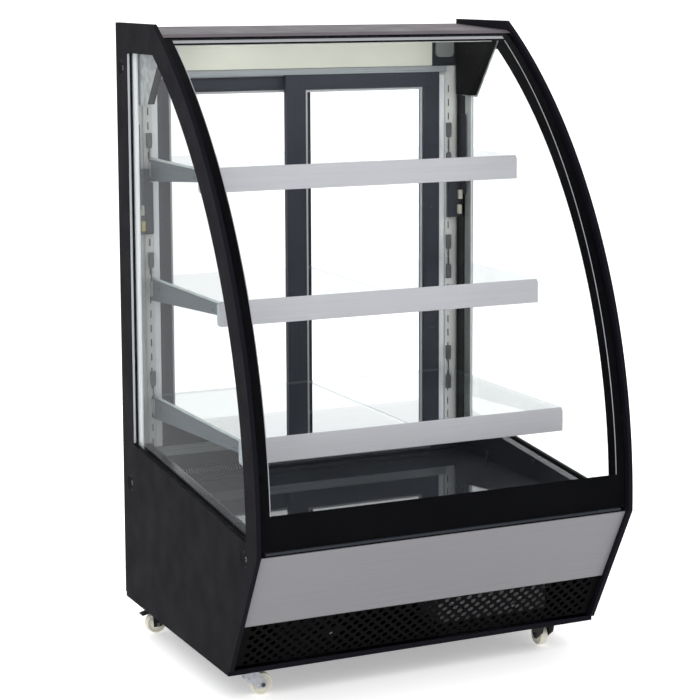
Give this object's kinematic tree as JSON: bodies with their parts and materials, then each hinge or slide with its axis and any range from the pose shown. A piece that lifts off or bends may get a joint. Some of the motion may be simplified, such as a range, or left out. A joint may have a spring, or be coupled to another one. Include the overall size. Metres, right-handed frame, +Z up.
{
  "type": "refrigerated bakery display case",
  "caption": "Curved-glass refrigerated bakery display case with tiered glass shelves, sliding rear doors, dark glossy deck, sloped steel fascia and swivel casters.",
  "frame": {"origin": "on the floor under the middle of the bounding box", "axes": "+Z up, the curved glass front faces -Y, +X to the right as seen from the front"},
  "size_m": [0.9, 0.8329, 1.44],
  "materials": {
    "black_panel": "gloss black",
    "clear_glass": "clear tempered glass, faint green tint",
    "brushed_steel": "horizontal brushed stainless",
    "cap_metal": "satin grey with a faint lilac cast",
    "aluminium": "satin anodised",
    "cream_liner": "satin cream enamel",
    "slate_frame": "satin dark slate",
    "deck_gloss": "high gloss dark",
    "black_plastic": "black",
    "shelf_rail": "satin pale grey",
    "arm_steel": "satin blue-grey",
    "zinc": "bright zinc plate",
    "wheel_nylon": "cream nylon",
    "foam_tub": "dark skin over foam",
    "compressor_black": "satin black",
    "coil_fins": "bright fins"
  },
  "bodies": {
    "cabinet": {"air_grille": "deck_gloss", "base_pan": "black_panel", "canopy_liner": "cream_liner", "ceiling_lamp": "black_plastic", "compressor": "compressor_black", "condenser": "coil_fins", "controller": "black_plastic", "deck_panel": "deck_gloss", "door_track_bottom": "aluminium", "door_track_top": "aluminium", "evaporator": "coil_fins", "front_glass": "clear_glass", "gusset_left": "black_plastic", "gusset_right": "black_plastic", "insulated_tub": "foam_tub", "lower_grille": "black_plastic", "rear_post_left": "aluminium", "rear_post_right": "aluminium", "service_panel": "black_panel", "shelf_arm_1_left": "arm_steel", "shelf_arm_1_right": "arm_steel", "shelf_arm_2_left": "arm_steel", "shelf_arm_2_right": "arm_steel", "shelf_arm_3_left": "arm_steel", "shelf_arm_3_right": "arm_steel", "shelf_glass_1_left": "clear_glass", "shelf_glass_1_right": "clear_glass", "shelf_glass_2_left": "clear_glass", "shelf_glass_2_right": "clear_glass", "shelf_glass_3_left": "clear_glass", "shelf_glass_3_right": "clear_glass", "shelf_rail_1": "shelf_rail", "shelf_rail_2": "shelf_rail", "shelf_rail_3": "shelf_rail", "shelf_standard_left": "aluminium", "shelf_standard_right": "aluminium", "side_glass_left": "clear_glass", "side_glass_right": "clear_glass", "side_panel_left": "black_panel", "side_panel_right": "black_panel", "steel_panel": "brushed_steel", "top_cap": "cap_metal"},
    "left_door": {"door_frame_left": "slate_frame", "door_glass_left": "clear_glass"},
    "right_door": {"door_frame_right": "slate_frame", "door_glass_right": "clear_glass"},
    "condenser_fan": {"condenser_fan": "black_plastic"},
    "evaporator_fan": {"evaporator_fan": "black_plastic"},
    "light_switch": {"light_switch": "black_plastic"},
    "fork_front_left": {"caster_fork_front_left": "zinc"},
    "wheel_front_left": {"caster_wheel_front_left": "wheel_nylon"},
    "fork_front_right": {"caster_fork_front_right": "zinc"},
    "wheel_front_right": {"caster_wheel_front_right": "wheel_nylon"},
    "pedal_front_right": {"brake_pedal_front_right": "compressor_black"},
    "fork_rear_left": {"caster_fork_rear_left": "zinc"},
    "wheel_rear_left": {"caster_wheel_rear_left": "wheel_nylon"},
    "pedal_rear_left": {"brake_pedal_rear_left": "compressor_black"},
    "fork_rear_right": {"caster_fork_rear_right": "zinc"},
    "wheel_rear_right": {"caster_wheel_rear_right": "wheel_nylon"}
  },
  "joints": [
    {"name": "left_door_slide", "type": "slide", "parent": "cabinet", "child": "left_door", "axis": [1, 0, 0], "range_m": [0, 0.35]},
    {"name": "right_door_slide", "type": "slide", "parent": "cabinet", "child": "right_door", "axis": [-1, 0, 0], "range_m": [0, 0.321]},
    {"name": "condenser_fan_spin", "type": "hinge", "parent": "cabinet", "child": "condenser_fan", "pos_m": [0.255, -0.032, 0.172], "axis": [0, -1, 0], "continuous": true},
    {"name": "evaporator_fan_spin", "type": "hinge", "parent": "cabinet", "child": "evaporator_fan", "pos_m": [0.18, 0.2765, 0.327], "axis": [0, -1, 0], "continuous": true},
    {"name": "light_switch_rock", "type": "hinge", "parent": "cabinet", "child": "light_switch", "pos_m": [0.27, 0.4015, 0.242], "axis": [-1, 0, 0], "range_deg": [0, 12]},
    {"name": "caster_swivel_front_left", "type": "hinge", "parent": "cabinet", "child": "fork_front_left", "pos_m": [-0.378, -0.1855, 0.0687], "axis": [0, 0, 1], "continuous": true},
    {"name": "caster_roll_front_left", "type": "hinge", "parent": "fork_front_left", "child": "wheel_front_left", "pos_m": [-0.35, -0.1855, 0.0248], "axis": [0, 1, 0], "continuous": true},
    {"name": "caster_swivel_front_right", "type": "hinge", "parent": "cabinet", "child": "fork_front_right", "pos_m": [0.364, -0.1835, 0.0687], "axis": [0, 0, 1], "continuous": true},
    {"name": "caster_roll_front_right", "type": "hinge", "parent": "fork_front_right", "child": "wheel_front_right", "pos_m": [0.364, -0.1555, 0.0248], "axis": [-1, 0, 0], "continuous": true},
    {"name": "brake_front_right", "type": "hinge", "parent": "fork_front_right", "child": "pedal_front_right", "pos_m": [0.364, -0.1495, 0.0545], "axis": [-1, 0, 0], "range_deg": [0, 20]},
    {"name": "caster_swivel_rear_left", "type": "hinge", "parent": "cabinet", "child": "fork_rear_left", "pos_m": [-0.378, 0.3315, 0.0687], "axis": [0, 0, 1], "continuous": true},
    {"name": "caster_roll_rear_left", "type": "hinge", "parent": "fork_rear_left", "child": "wheel_rear_left", "pos_m": [-0.406, 0.3315, 0.0248], "axis": [0, -1, 0], "continuous": true},
    {"name": "brake_rear_left", "type": "hinge", "parent": "fork_rear_left", "child": "pedal_rear_left", "pos_m": [-0.412, 0.3315, 0.0545], "axis": [0, -1, 0], "range_deg": [0, 20]},
    {"name": "caster_swivel_rear_right", "type": "hinge", "parent": "cabinet", "child": "fork_rear_right", "pos_m": [0.378, 0.3315, 0.0687], "axis": [0, 0, 1], "continuous": true},
    {"name": "caster_roll_rear_right", "type": "hinge", "parent": "fork_rear_right", "child": "wheel_rear_right", "pos_m": [0.38758, 0.35781, 0.0248], "axis": [-0.9397, 0.342, 0], "continuous": true}
  ]
}
